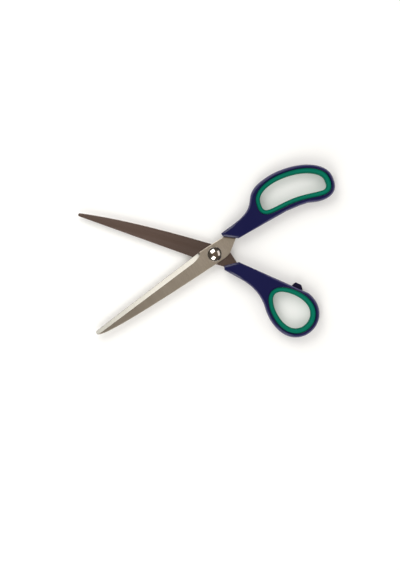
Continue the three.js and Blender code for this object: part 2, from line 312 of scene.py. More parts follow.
def linear(r, g, b):
    def one(c):
        c /= 255
        return c / 12.92 if c <= 0.04045 else ((c + 0.055) / 1.055) ** 2.4

    return (one(r), one(g), one(b), 1.0)


def newMaterial(name):
    material = bpy.data.materials.new(name)
    material.use_nodes = True
    tree = material.node_tree
    shader = tree.nodes["Principled BSDF"]
    return material, tree, shader


def placeGroup(tree, group, place, **values):
    node = tree.nodes.new("ShaderNodeGroup")
    node.node_tree = group
    node.location = place
    for key, value in values.items():
        node.inputs[key.replace("_", " ")].default_value = value
    return node


def colourMix(tree, place, factor, a, b, blend="MIX"):
    # a and b are colours, or sockets that give one
    mix = tree.nodes.new("ShaderNodeMix")
    mix.data_type = "RGBA"
    mix.blend_type = blend
    mix.location = place
    for key, colour in (("A", a), ("B", b)):
        if isinstance(colour, bpy.types.NodeSocket):
            tree.links.new(colour, mix.inputs[key])
        else:
            mix.inputs[key].default_value = colour
    tree.links.new(factor, mix.inputs["Factor"])
    return mix.outputs["Result"]


def mapRange(tree, place, value, low, high, fromLow=0.0, fromHigh=1.0):
    node = tree.nodes.new("ShaderNodeMapRange")
    node.location = place
    node.inputs["From Min"].default_value = fromLow
    node.inputs["From Max"].default_value = fromHigh
    node.inputs["To Min"].default_value = low
    node.inputs["To Max"].default_value = high
    tree.links.new(value, node.inputs["Value"])
    return node.outputs["Result"]


def bumpFrom(tree, shader, place, height, strength, distance):
    bump = tree.nodes.new("ShaderNodeBump")
    bump.location = place
    bump.inputs["Strength"].default_value = strength
    bump.inputs["Distance"].default_value = distance
    tree.links.new(height, bump.inputs["Height"])
    tree.links.new(bump.outputs["Normal"], shader.inputs["Normal"])


def makePlastic(look):
    material, tree, shader = newMaterial(look["name"])
    grain = placeGroup(
        tree, grainGroup, (-900, 0), Fine_Scale=look["grainScale"], Patch_Scale=look["patchScale"]
    )
    rimShadingAndWear = placeGroup(tree, rimShadingGroup, (-900, -300), Amount=look["rimShadingAndWear"], Scale=look["rimShadingScale"])
    base = colourMix(tree, (-600, 200), grain.outputs["Patches"], look["dark"], look["light"])
    # painted shading on the rounded rims: a painted highlight with rubbed wear on the handles, painted
    # shade on the grips
    rimShadingAndWearColour = colourMix(tree, (-350, 200), rimShadingAndWear.outputs["ShadingAndWear"], base, look["rimShadingAndWearColour"])
    tree.links.new(rimShadingAndWearColour, shader.inputs["Base Color"])
    rough = mapRange(tree, (-600, -50), grain.outputs["Patches"], *look["roughness"], *noiseSpan)
    tree.links.new(rough, shader.inputs["Roughness"])
    bumpFrom(tree, shader, (-300, -300), grain.outputs["Grain"], look["bump"], look["bumpDepth"])
    shader.inputs["Specular IOR Level"].default_value = look["specular"]
    return material


def makeSteel(look):
    material, tree, shader = newMaterial(look["name"])
    lines = placeGroup(
        tree, linesGroup, (-900, 0), Turn=(0, 0, look["turn"]), Stretch=look["stretch"], Scale=look["scale"]
    )
    grain = placeGroup(tree, grainGroup, (-900, -350), Patch_Scale=look["patchScale"])
    base = colourMix(tree, (-600, 200), lines.outputs["Lines"], look["dark"], look["light"])
    colour = colourMix(tree, (-350, 200), grain.outputs["Patches"], base, look["cloud"], "MULTIPLY")
    rough = mapRange(tree, (-600, -50), lines.outputs["Bands"], *look["roughness"], *noiseSpan)
    for i, (way, low, high, amount, tint) in enumerate(look.get("paintedShades", ())):
        # painted shade: the colour darkens along the piece, between two distances in one direction
        level = 650 + 250 * i
        where = socketed(tree, "ShaderNodeTexCoord", (-900, level))
        ahead = socketed(tree, "ShaderNodeVectorMath", (-650, level), operation="DOT_PRODUCT")
        ahead.inputs[1].default_value = way
        tree.links.new(where.outputs["Object"], ahead.inputs[0])
        share = mapRange(tree, (-400, level), ahead.outputs["Value"], 0.0, amount, low, high)
        colour = colourMix(tree, (-150, level), share, colour, tint)
    if "fade" in look:
        # the grinding fades into the face's own finish where it starts
        runout = socketed(tree, "ShaderNodeAttribute", (-900, 400), attribute_name="runout")
        colour = colourMix(tree, (-150, 200), runout.outputs["Fac"], colour, look["fade"])
        blend = tree.nodes.new("ShaderNodeMix")
        blend.inputs["B"].default_value = look["fadeRoughness"]
        tree.links.new(runout.outputs["Fac"], blend.inputs["Factor"])
        tree.links.new(rough, blend.inputs["A"])
        rough = blend.outputs["Result"]
    tree.links.new(colour, shader.inputs["Base Color"])
    tree.links.new(rough, shader.inputs["Roughness"])
    shader.inputs["Metallic"].default_value = 1.0
    bumpFrom(tree, shader, (-300, -300), lines.outputs["Lines"], look["bump"], look["bumpDepth"])
    return material


navyLook = {
    "name": "navyPlastic",
    "dark": linear(6, 12, 60),
    "light": linear(10, 16, 67),
    # painted highlight on the rounded rims, along with rubbed wear
    "rimShadingAndWearColour": linear(90, 84, 124),
    "rimShadingAndWear": 0.55,
    "rimShadingScale": 220.0,
    "grainScale": 2600.0,
    "patchScale": 45.0,
    "roughness": (0.2, 0.26),
    "bump": 0.12,
    "bumpDepth": 0.0001,
    "specular": 0.5,
}
greenLook = {
    "name": "greenGrip",
    "dark": linear(0, 104, 82),
    "light": linear(0, 113, 91),
    # painted shade on the grips' rounded edges
    "rimShadingAndWearColour": linear(0, 60, 42),
    "rimShadingAndWear": 0.28,
    "rimShadingScale": 300.0,
    "grainScale": 3200.0,
    "patchScale": 70.0,
    "roughness": (0.5, 0.62),
    "bump": 0.2,
    "bumpDepth": 0.0001,
    "specular": 0.06,
}
bufferLook = {
    "name": "bufferRubber",
    "dark": linear(10, 4, 38),
    "light": linear(15, 8, 48),
    "rimShadingAndWearColour": linear(40, 38, 66),
    "rimShadingAndWear": 0.2,
    "rimShadingScale": 500.0,
    "grainScale": 3600.0,
    "patchScale": 120.0,
    "roughness": (0.6, 0.72),
    "bump": 0.25,
    "bumpDepth": 0.0001,
    "specular": 0.15,
}


# where the painted shade at each mouth fades in, and where it is darkest
mouthLine = {"clear": 0.0016, "dark": 0.0003}  # metres in front of the moulding


def mouthPaintedShade(place, mouth, amount, tint):
    # painted shade: a dark line on the blade where it goes into its moulding, standing in for the
    # moulding's contact shadow
    nose, inner = (place @ Vector((*p, 0)) for p in mouth)
    along = (inner - nose).normalized()
    way = Vector((along.y, -along.x, 0))
    if way.dot(nose) < 0:
        way.negate()
    line = way.dot(nose)
    return way, line - mouthLine["clear"], line - mouthLine["dark"], amount, tint


def bladePaintedShade(turn, low, high, amount, tint):
    # painted shade along a blade, with distances counted from the pivot towards the tip
    return Vector((-math.cos(turn), -math.sin(turn), 0)), low, high, amount, tint


brushedLook = {
    "name": "brushedSteel",
    "paintedShades": [
        # painted shade where the blade goes into the finger moulding
        mouthPaintedShade(fingerPlace, mouths["finger"], 0.75, linear(60, 54, 46)),
        # painted shade, darker towards the tip
        bladePaintedShade(halfTurn, 0.01, 0.108, 1.0, linear(174, 166, 154)),
    ],
    "dark": linear(185, 178, 165),
    "light": linear(235, 228, 215),
    "cloud": linear(248, 244, 238),
    "turn": -halfTurn,
    "stretch": (1.0, 0.15, 0.2),  # short streaks run across the blade
    "scale": 1500.0,
    "patchScale": 30.0,
    "roughness": (0.37, 0.41),
    "bump": 0.08,
    "bumpDepth": 0.00005,
}
innerLook = {
    "name": "innerSteel",
    "paintedShades": [
        # painted shade where the blade goes into the thumb moulding
        mouthPaintedShade(thumbPlace, mouths["thumb"], 0.4, linear(60, 50, 48)),
        # painted shade, darker by the pivot where the front blade shades this one
        bladePaintedShade(-halfTurn, 0.06, 0.01, 1.0, linear(173, 163, 164)),  # darker by the pivot
    ],
    "dark": linear(182, 171, 173),
    "light": linear(213, 202, 204),
    "cloud": linear(250, 244, 240),
    "turn": halfTurn,
    "stretch": (0.03, 1.0, 0.2),
    "scale": 1200.0,
    "patchScale": 25.0,
    "roughness": (0.16, 0.24),
    "bump": 0.03,
    "bumpDepth": 0.00003,
}
groundLook = {
    "name": "groundBevel",
    "dark": linear(148, 147, 142),
    "light": linear(156, 154, 148),
    # painted shade, darker towards the tip
    "paintedShades": [bladePaintedShade(halfTurn, 0.06, 0.125, 1.0, linear(134, 133, 127))],
    "cloud": linear(252, 250, 246),
    "turn": -halfTurn,
    "stretch": (1.0, 0.05, 0.3),
    "scale": 2000.0,
    "patchScale": 60.0,
    "roughness": (0.24, 0.27),
    "bump": 0.03,
    "bumpDepth": 0.00005,
    "fade": linear(222, 213, 200),
    "fadeRoughness": 0.4,
}
backGroundLook = dict(groundLook, name="groundBevelBack", turn=halfTurn, paintedShades=[])
polishedLook = {
    "name": "polishedRivet",
    "dark": linear(214, 210, 206),
    "light": linear(226, 222, 218),
    "cloud": linear(252, 250, 248),
    "turn": 0.0,
    "stretch": (1.0, 1.0, 1.0),
    "scale": 600.0,
    "patchScale": 80.0,
    "roughness": (0.05, 0.1),
    "bump": 0.01,
    "bumpDepth": 0.00003,
}
washerLook = dict(brushedLook, name="washerSteel", turn=0.0, scale=900.0, paintedShades=[])

navyPlastic = makePlastic(navyLook)
greenGrip = makePlastic(greenLook)
bufferRubber = makePlastic(bufferLook)
brushedSteel = makeSteel(brushedLook)
innerSteel = makeSteel(innerLook)
groundBevel = makeSteel(groundLook)
groundBevelBack = makeSteel(backGroundLook)
polishedRivet = makeSteel(polishedLook)
washerSteel = makeSteel(washerLook)
print("materials made")

# blades
bladeSizes = {
    "reach": 126.0,
    "thickness": 2.0,
    "spine": 8.0,
    "heelReach": 9.0,
    "tipEdge": 1.0,
    "taperStart": 14.0,
    "shoulder": 10.2,
    "shoulderRound": 5.0,
    "bevelReach": 10.2,
    "bevelWidth": 4.65,
    "bevelTip": 3.6,
    "bevelRunout": 11.8,
    "bevelEase": 1.3,  # length in which the grinding comes to its full slope
    "bevelFirst": 0.45,  # share of that slope at the start
    "bevelSlack": 0.05,
    "bevelFacing": 0.3,  # faces that look up less than this aren't ground
    "land": 0.4,
    "thinnest": 0.25,
    "soft": 0.45,
    "edgeSoft": 0.2,
    "underSoft": 0.2,
    "underSharp": 0.03,
    "softSteps": (0.0, 0.1, 0.3, 0.6, 1.0, 1.2),  # the last keeps the flat faces flat
    "pastSoft": 1.3,
    "tipTurn": 252,  # degrees round the tip, where the belly leaves it
    "tangTop": 8.5,
    "tangTopReach": 17.0,
    "bore": 3.1,
    "boreCut": (-1.0, 4.0),
    "boreTurns": 72,
    "smooth": 50,
}
frontBladeShape = {
    "heel": 9.0, "tip": 2.0, "belly": 116.8, "root": (24.0, 1.8), "end": (48.0, 7.0), "endWidth": 5.0,
}
backBladeShape = {
    "heel": 8.4, "tip": 1.5, "belly": 84.0, "root": (21.5, 1.9), "end": (46.0, 10.2), "endWidth": 5.0,
}


def quadratic(a, b, c, t):
    return a * (1 - t) ** 2 + 2 * b * t * (1 - t) + c * t * t


def quadraticAt(xs, ys, x):
    # height of a curve over x, found by halving
    low, high = 0.0, 1.0
    for _ in range(40):
        t = (low + high) / 2
        if (quadratic(*xs, t) < x) == (xs[0] < xs[2]):
            low = t
        else:
            high = t
    return quadratic(*ys, low)


def edgeShare(x):
    b = bladeSizes
    return (-x - b["heelReach"]) / (b["reach"] - b["heelReach"])


def cuttingEdge(x, shape):
    return shape["heel"] + (bladeSizes["tipEdge"] - shape["heel"]) * edgeShare(x)


def bevelAt(x):
    # width of the ground bevel, and how fast it falls towards the cutting edge
    b = bladeSizes
    full = b["bevelWidth"] + (b["bevelTip"] - b["bevelWidth"]) * edgeShare(x)
    left = min(1.0, max(0.0, (b["bevelReach"] + b["bevelRunout"] + x) / b["bevelRunout"]))
    grown = smoothStep(-x, b["bevelReach"], b["bevelReach"] + b["bevelEase"])
    deepen = b["bevelFirst"] + (1 - b["bevelFirst"]) * grown
    return full * math.sqrt(1 - left * left), deepen * (b["thickness"] - b["land"]) / full


def bevelStart(x, shape):
    high = cuttingEdge(x, shape) if x < -bladeSizes["heelReach"] else bladeHigh(x, shape)
    return high - bevelAt(x)[0]


def bladeHigh(x, shape):
    b = bladeSizes
    endRadius = shape["endWidth"] / 2
    endX, endY = shape["end"][0] - endRadius, shape["end"][1]
    tipX = shape["tip"] - b["reach"]
    if x > endX:
        return endY + math.sqrt(max(0.0, endRadius**2 - (x - endX) ** 2))
    if x > b["tangTopReach"]:
        s = (x - b["tangTopReach"]) / (endX - b["tangTopReach"])
        return b["tangTop"] + (endY + endRadius - b["tangTop"]) * s
    if x > -b["heelReach"]:
        s = (x + b["heelReach"]) / (b["tangTopReach"] + b["heelReach"])
        return shape["heel"] + (b["tangTop"] - shape["heel"]) * s
    if x > tipX:
        return cuttingEdge(x, shape)
    tipY = cuttingEdge(tipX, shape) - shape["tip"]
    return tipY + math.sqrt(max(0.0, shape["tip"] ** 2 - (x - tipX) ** 2))


def bladeLow(x, shape):
    b = bladeSizes
    endRadius = shape["endWidth"] / 2
    endX, endY = shape["end"][0] - endRadius, shape["end"][1]
    rootX, rootY = shape["root"]
    tipX = shape["tip"] - b["reach"]
    tipY = cuttingEdge(tipX, shape) - shape["tip"]
    turn = math.radians(b["tipTurn"])
    leaveX, leaveY = tipX + shape["tip"] * math.cos(turn), tipY + shape["tip"] * math.sin(turn)
    runX, runY = rootX - b["shoulder"], rootY + b["spine"]
    run = math.hypot(runX, runY)
    afterX = b["shoulder"] + runX * b["shoulderRound"] / run
    afterY = -b["spine"] + runY * b["shoulderRound"] / run
    if x > endX:
        return endY - math.sqrt(max(0.0, endRadius**2 - (x - endX) ** 2))
    if x > rootX:
        return rootY + (endY - endRadius - rootY) * (x - rootX) / (endX - rootX)
    if x > afterX:
        return afterY + (rootY - afterY) * (x - afterX) / (rootX - afterX)
    if x > b["shoulder"] - b["shoulderRound"]:
        xs = (b["shoulder"] - b["shoulderRound"], b["shoulder"], afterX)
        return quadraticAt(xs, (-b["spine"], -b["spine"], afterY), x)
    if x > -b["taperStart"]:
        return -b["spine"]
    if x > leaveX:
        xs = (leaveX, -shape["belly"], -b["taperStart"])
        return quadraticAt(xs, (leaveY, -b["spine"], -b["spine"]), x)
    return tipY - math.sqrt(max(0.0, shape["tip"] ** 2 - (x - tipX) ** 2))


def roundFall(distance, radius):
    # how far a rounded edge falls below the flat, at a distance in from the side
    if distance >= radius:
        return 0.0
    return radius - math.sqrt(max(0.0, radius**2 - (radius - distance) ** 2))


def bladeSection(x, shape):
    b = bladeSizes
    inner = pair["bladeGap"] / 2
    outer = inner + b["thickness"]
    high, low = bladeHigh(x, shape), bladeLow(x, shape)
    start, slope = bevelStart(x, shape), bevelAt(x)[1]
    room = (high - low) / 5  # a softened edge takes no more than this
    spineSoft = min(b["soft"], room)
    sharpen = smoothStep(-x, b["heelReach"], b["bevelReach"])
    edgeSoft = min(b["soft"] + (b["edgeSoft"] - b["soft"]) * sharpen, room)
    under = min(b["underSoft"], room)
    underEdge = min(b["underSoft"] * (1 - sharpen) + b["underSharp"], room)
    past = b["pastSoft"]

    def top(y):
        flat = outer - slope * max(0.0, y - start)
        fallen = flat - roundFall(high - y, edgeSoft) - roundFall(y - low, spineSoft)
        return max(fallen, inner + b["thinnest"])

    line = min(max(start, low + spineSoft * past), high - edgeSoft * past)
    ys = [high - edgeSoft * s for s in b["softSteps"]] + [line]
    ys += [low + spineSoft * s for s in reversed(b["softSteps"])]
    section = [(low, inner + under), (low + under, inner), (low + under * past, inner)]
    section += [(high - underEdge * past, inner), (high - underEdge, inner), (high, inner + underEdge)]
    section += [(y, top(y)) for y in ys]
    return [Vector((x, y, z)) for y, z in section]


def bladeStations(shape):
    # sections from the tang's end to the tip, closest where the outline turns
    b = bladeSizes
    endRadius = shape["endWidth"] / 2
    tip = shape["tip"]

    def inset(degrees):
        return 1 - math.cos(math.radians(degrees))

    stops = [shape["end"][0] - endRadius * inset(a) for a in (2, 20, 40, 60, 75, 90)]
    stops += [shape["root"][0], b["tangTopReach"]]
    shoulderSteps = (0.55, 0.35, 0.15, -0.1, -0.35, -0.6, -1.0)
    stops += [b["shoulder"] + b["shoulderRound"] * s for s in shoulderSteps]
    stops += [-b["bevelReach"] - b["bevelRunout"] * inset(a) for a in range(0, 91, 5)]
    first, last = -b["bevelReach"] - b["bevelRunout"], tip - b["reach"]
    bellySteps = 48
    stops += [first + (last - first) * i / bellySteps for i in range(1, bellySteps)]
    tipSteps = (0, 15, 30, 42, 54, 64, 73, 80, 86, 89.5)
    stops += [last - tip * math.sin(math.radians(a)) for a in tipSteps]
    # beside the pivot, none of them through a corner of the bore
    stops += [4.1, 2.1, 0.1, -1.9, -3.9, -5.9, -8.0, -b["heelReach"], -9.4, -9.8]
    return sorted({round(s, 4) for s in stops}, reverse=True)


def makeBlade(name, shape):
    rings = [bladeSection(x, shape) for x in bladeStations(shape)]
    piece = startRing(name, len(rings[0]))
    growRings(piece, rings)
    capEnds(piece, 0)
    closeUp(piece)
    b = bladeSizes
    cutter = revolve("boreCutter", [(b["bore"], z) for z in b["boreCut"]], b["boreTurns"])
    capEnds(cutter, 2)
    closeUp(cutter)
    cutWith(piece, cutter)
    return piece


def paintBevel(piece, shape):
    # the ground faces lie between the bevel's line and the cutting edge
    b = bladeSizes
    for face in piece.data.polygons:
        x, y, _ = face.center
        if x > -b["bevelReach"] or face.normal.z < b["bevelFacing"]:
            continue
        if y > bevelStart(x, shape) - b["bevelSlack"]:
            face.material_index = 1
    ground = {}
    for face in piece.data.polygons:
        for key in face.edge_keys:
            ground.setdefault(key, set()).add(face.material_index)
    for edge in piece.data.edges:
        if len(ground[edge.key]) > 1:
            edge.use_edge_sharp = True
    runout = piece.data.attributes.new("runout", "FLOAT", "POINT")
    for v, item in zip(piece.data.vertices, runout.data):
        item.value = 1 - smoothStep(-v.co.x, b["bevelReach"], b["bevelReach"] + b["bevelEase"])


frontBlade = makeBlade("frontBlade", frontBladeShape)
paintBevel(frontBlade, frontBladeShape)
frontSteels = [brushedSteel, groundBevel]
seatPiece(
    frontBlade, fingerPlace, bladeSizes["smooth"], frontSteels, "finger_half", "front_blade"
)
backBlade = makeBlade("backBlade", backBladeShape)
paintBevel(backBlade, backBladeShape)
backSteels = [innerSteel, groundBevelBack]
seatPiece(
    backBlade, thumbPlace, bladeSizes["smooth"], backSteels, "thumb_half", "back_blade"
)

# loops: the opening is one curve, and grip and handle are offsets of it
loopShapes = {
    "finger": {
        "x": 87.7, "y": 6.3, "length": 30.25, "width": 9.9, "tilt": -14.3,
        "taper": -0.05, "bow": 6.0, "full": 0.594, "grip": 4.25,
    },
    "thumb": {
        "x": 78.15, "y": 27.9, "length": 19.1, "width": 12.85, "tilt": 27.0,
        "taper": 0.24, "bow": 0.0, "full": 0.98, "grip": 4.5,
    },
}
loopCount = 224
loopFine = 2880  # points that the even ones are picked from
loopEasing = 3
gripSizes = {
    "flare": 0.25, "recess": 0.35, "round": 2.8, "backRound": 0.8, "crown": 0.3,
    "rib": 1.4, "ribSlope": 0.6, "ribGap": 0.03,
    "roundSteps": 9, "backSteps": 5, "crownShares": (0.75, 0.5, 0.25), "smooth": 40,
}


def fuller(value, power):
    return math.copysign(abs(value) ** power, value)


def loopPoint(loop, t):
    along = fuller(math.cos(t), loop["full"])
    across = fuller(math.sin(t), loop["full"])
    x = loop["length"] * along
    y = loop["width"] * across * (1 + loop["taper"] * along) + loop["bow"] * (1 - along * along)
    tilt = math.radians(loop["tilt"])
    return Vector(
        (
            loop["x"] + x * math.cos(tilt) - y * math.sin(tilt),
            loop["y"] + x * math.sin(tilt) + y * math.cos(tilt),
        )
    )


def evenly(points, count):
    runs = [0.0]
    for i in range(len(points)):
        runs.append(runs[-1] + (points[(i + 1) % len(points)] - points[i]).length)
    even, j = [], 0
    for i in range(count):
        want = runs[-1] * i / count
        while runs[j + 1] < want:
            j += 1
        s = (want - runs[j]) / (runs[j + 1] - runs[j])
        even.append(points[j].lerp(points[(j + 1) % len(points)], s))
    return even


def eased(points, rounds):
    # takes the last small kinks out of a closed line
    for _ in range(rounds):
        after = points[1:] + points[:1]
        points = [points[i - 1] * 0.25 + p * 0.5 + after[i] * 0.25 for i, p in enumerate(points)]
    return points


def loopStations(loop):
    fine = [loopPoint(loop, 2 * math.pi * i / loopFine) for i in range(loopFine)]
    points = eased(evenly(fine, loopCount), loopEasing)
    ways = [w.normalized() for w in waysOut(points)]
    tilt = math.radians(loop["tilt"])
    axis = Vector((math.cos(tilt), math.sin(tilt)))
    centre = Vector((loop["x"], loop["y"]))
    flare = gripSizes["flare"] / loop["length"]
    widths = [loop["grip"] + flare * (p - centre).dot(axis) for p in points]
    return list(zip(points, ways, widths))


# the painted rim shading and wear start and end between these slopes, and stay off sheltered lines
rimShadingSlopes = {"starts": (0.05, 0.3), "ends": (0.1, 0.4), "shelter": 0.9}


def markRim(piece, sheltered=()):
    # how far each point is round the edge
    tree = KDTree(len(sheltered))
    for i, p in enumerate(sheltered):
        tree.insert((p.x, p.y, 0), i)
    tree.balance()
    rim = piece.data.attributes.new("rim", "FLOAT", "POINT")
    for v, item in zip(piece.data.vertices, rim.data):
        if sheltered and tree.find((v.co.x, v.co.y, 0))[2] < rimShadingSlopes["shelter"]:
            continue
        flat = abs(v.normal.z)
        item.value = smoothStep(1 - flat, *rimShadingSlopes["starts"]) * smoothStep(flat, *rimShadingSlopes["ends"])


def makeGrip(name, loop):
    g = gripSizes
    stations = loopStations(loop)
    top = midPlane - g["recess"]
    back, front = g["backRound"], g["round"]
    upper = []  # share of the width, distance from the opening and height, from the seat inwards
    for d, h in arcPoints((-back, top - back), back, 0, 90, g["backSteps"]):
        upper.append((1.0, d - pair["fitGap"], h))
    for s in g["crownShares"]:
        upper.append((s, front * (1 - s), top + g["crown"] * 4 * s * (1 - s)))
    for d, h in arcPoints((front, top - front), front, 90, 180, g["roundSteps"]):
        upper.append((0.0, d, h))
    section = upper + [(s, d, -h) for s, d, h in reversed(upper)]
    # rib round the back, which closes the gap to the seat
    rib, foot = g["rib"], g["rib"] + g["ribSlope"]
    section += [(1.0, -pair["fitGap"], -foot), (1.0, -g["ribGap"], -rib)]
    section += [(1.0, -g["ribGap"], rib), (1.0, -pair["fitGap"], foot)]
    rings = []
    for s, d, h in section:
        ring = []
        for p, way, width in stations:
            q = p + way * (s * width + d)
            if 0 < s < 1:
                q = p + way * (s * (width - pair["fitGap"] - back) + (1 - s) * front)
            ring.append(Vector((q.x, q.y, h)))
        rings.append(ring)
    piece = startRing(name, loopCount)
    growRings(piece, rings)
    selectOpenEdges(piece)
    bpy.ops.mesh.bridge_edge_loops()
    closeUp(piece)
    return piece


fingerGrip = makeGrip("fingerGrip", loopShapes["finger"])
markRim(fingerGrip)
seatPiece(
    fingerGrip, fingerPlace, gripSizes["smooth"], [greenGrip], "finger_half", "finger_grip"
)
thumbGrip = makeGrip("thumbGrip", loopShapes["thumb"])
markRim(thumbGrip)
seatPiece(
    thumbGrip, thumbPlace, gripSizes["smooth"], [greenGrip], "thumb_half", "thumb_grip"
)

# handles
stopSizes = {"reach": 78.7, "offset": -4.3, "slope": -0.18, "ahead": 4.6, "behind": 7.6}
handleShapes = {
    "finger": {
        "wall": 7.5, "mouth": mouths["finger"], "outer": (15.0, 12.15), "straight": 11.2, "angle": 2.4,
        "neckPull": 36.5, "loopPull": 34.5, "joinLow": 0.833, "joinHigh": 0.361, "pad": True,
        "swell": 1.0, "swellAt": 0.905, "swellSpan": 0.085,
    },
    "thumb": {
        "wall": 7.9, "mouth": mouths["thumb"], "outer": (12.2, 11.0), "straight": 8.1, "angle": 13.3,
        "neckPull": 11.7, "loopPull": 20.1, "joinLow": 0.764, "joinHigh": 0.389, "pad": False,
        "swell": 0.0, "swellAt": 0.5, "swellSpan": 0.1,
    },
}
edgeSizes = {
    # each rounding as its width in plan and its height, flattened towards a chamfer
    "front": (2.0, 0.95), "neck": (0.9, 0.9), "loop": (2.0, 2.4), "flattened": 1.4,
    "frontEnd": 26.0, "blendStart": 32.0, "blendEnd": 62.0,
    "steps": 8, "seat": 0.35, "seatSteps": 4, "flat": 0.05, "guard": 0.25,
    "seamWidth": 0.12, "seamDepth": 0.07, "sweepSteps": 48, "lineStep": 2.0, "smooth": 30,
}
slotSizes = {"start": 8.0, "steps": 24}  # one millimetre to a step


def stopLine(along):
    return Vector((stopSizes["reach"] + along, stopSizes["offset"] + stopSizes["slope"] * along))


def splitLine(a, b, step):
    count = max(1, math.ceil((b - a).length / step))
    return [a.lerp(b, i / count) for i in range(count)]


def handleOutline(shape, loop):
    rim = []
    for i, (p, way, _) in enumerate(loopStations(loop)):
        # the rim swells at the corner where the little finger bears on it
        aside = (i / loopCount - shape["swellAt"]) / shape["swellSpan"]
        swell = shape["swell"] * max(0.0, 1 - aside * aside) ** 2
        rim.append(p + way * (shape["wall"] + swell))
    first = round(shape["joinLow"] * loopCount) - loopCount
    last = round(shape["joinHigh"] * loopCount)
    around = [rim[i] for i in range(first, last + 1)]
    leave = around[-1]
    heading = (rim[last + 1] - rim[last - 1]).normalized()
    angle = math.radians(shape["angle"])
    neckWay = Vector((math.cos(angle), math.sin(angle)))
    nose, inner = (Vector(p) for p in shape["mouth"])
    outer = Vector(shape["outer"])
    bend = outer + neckWay * shape["straight"]
    a, b = leave + heading * shape["loopPull"], bend + neckWay * shape["neckPull"]
    sweep = []
    for i in range(1, edgeSizes["sweepSteps"] + 1):
        t = i / edgeSizes["sweepSteps"]
        s = 1 - t
        sweep.append(leave * s**3 + a * (3 * s * s * t) + b * (3 * s * t * t) + bend * t**3)
    edge = [inner]
    if shape["pad"]:
        away = Vector((0, pair["fitGap"] / 2))
        edge += [stopLine(-stopSizes["ahead"]) + away, stopLine(stopSizes["behind"]) + away]
    edge.append(around[0])
    innerEdge = []
    for start, end in zip(edge, edge[1:]):
        innerEdge += splitLine(start, end, edgeSizes["lineStep"])
    return innerEdge + around + sweep + [outer, nose]


def edgeRound(p, part):
    e = edgeSizes
    front, neck, loop = e["front"][part], e["neck"][part], e["loop"][part]
    near = front + (neck - front) * smoothStep(p.x, e["frontEnd"], e["blendStart"])
    return near + (loop - near) * smoothStep(p.x, e["blendStart"], e["blendEnd"])


def handleRings(outline, seat):
    ways = waysOut(outline)
    e = edgeSizes
    spare = e["seat"] + 3 * e["flat"]  # of the wall, left beside the grip's seat
    wides = [min(edgeRound(p, 0), min((p - q).length for q in seat) - spare) for p in outline]
    talls = [edgeRound(p, 1) for p in outline]

    def ringAt(side, share, extra):
        turn = share * math.pi / 2
        across = max(0.0, math.cos(turn)) ** e["flattened"]
        up = math.sin(turn) ** e["flattened"]
        ring = []
        for p, way, wide, tall in zip(outline, ways, wides, talls):
            q = p + way * (wide * (across - 1) - extra)
            ring.append(Vector((q.x, q.y, side * (midPlane - tall + tall * up))))
        return ring

    def seamAt(height, depth):
        return [Vector((*(p - way * depth), height)) for p, way in zip(outline, ways)]

    def guardAt(side):
        # keeps the wall below the rounding flat
        highs = [midPlane - tall - e["guard"] for tall in talls]
        return [Vector((p.x, p.y, side * high)) for p, high in zip(outline, highs)]

    shares = [i / e["steps"] for i in range(e["steps"] + 1)]
    rings = [ringAt(1, 1.0, e["flat"])] + [ringAt(1, s, 0) for s in reversed(shares)]
    seam = [seamAt(e["seamWidth"], 0), seamAt(0, e["seamDepth"]), seamAt(-e["seamWidth"], 0)]
    rings += [guardAt(1)] + seam + [guardAt(-1)]
    rings += [ringAt(-1, s, 0) for s in shares] + [ringAt(-1, 1.0, e["flat"])]
    return rings


def seatRings(stations):
    e = edgeSizes
    q = e["seat"]
    half = [(q + e["flat"], midPlane)] + arcPoints((q, midPlane - q), q, 90, 180, e["seatSteps"])
    section = half + [(d, -h) for d, h in reversed(half)]
    return [[Vector((*(p + way * (width + d)), h)) for p, way, width in stations] for d, h in section]


def seatLine(loop):
    return [p + way * width for p, way, width in loopStations(loop)]


def makeHandle(name, shape, loop, blade):
    outline = handleOutline(shape, loop)
    stations = loopStations(loop)
    piece = startRing(name, len(outline))
    growRings(piece, handleRings(outline, seatLine(loop)))
    addRing(piece, loopCount)
    growRings(piece, seatRings(stations))
    for side in (1, -1):
        selectOpenEdges(piece, lambda p: p.z * side > 0)
        bpy.ops.mesh.fill()
    closeUp(piece)
    # slot that the tang goes into
    gap = pair["fitGap"]
    inner = pair["bladeGap"] / 2
    low, high = inner - gap, inner + bladeSizes["thickness"] + gap
    tangXs = [slotSizes["start"] + i for i in range(slotSizes["steps"])]
    side = [Vector((x, bladeLow(x, blade) - gap)) for x in tangXs]
    side += [Vector((x, bladeHigh(x, blade) + gap)) for x in reversed(tangXs)]
    cutter = startRing("slotCutter", len(side))
    growRings(cutter, [[Vector((*p, z)) for p in side] for z in (low, high)])
    capEnds(cutter, 2, (low + high) / 2)
    closeUp(cutter)
    cutWith(piece, cutter)
    return piece


fingerHandle = makeHandle(
    "fingerHandle", handleShapes["finger"], loopShapes["finger"], frontBladeShape
)
markRim(fingerHandle, seatLine(loopShapes["finger"]))
seatPiece(
    fingerHandle, fingerPlace, edgeSizes["smooth"], [navyPlastic],
    "finger_half", "finger_handle",
)
thumbHandle = makeHandle("thumbHandle", handleShapes["thumb"], loopShapes["thumb"], backBladeShape)

# stop buffer, in its pocket on the thumb handle
bufferSizes = {
    "top": 5.4, "flank": 2.2, "height": 4.6, "seat": 1.5, "rise": 3.2,
    "soft": 0.45, "softSteps": 3, "softAngle": 20, "smooth": 40,
}


def bufferOutline(grow):
    b = bufferSizes
    head = b["top"] / 2
    foot = head + b["flank"]
    deep = b["rise"] + b["seat"]
    corners = [(-head, 0), (head, 0), (foot, b["rise"])]
    corners += [(foot, deep), (-foot, deep), (-foot, b["rise"])]
    line = []
    for along, depth in corners:
        p = stopLine(along)
        line.append(Vector((p.x, depth + pair["fitGap"] / 2 - p.y)))
    return [p + way * grow for p, way in zip(line, waysOut(line))]


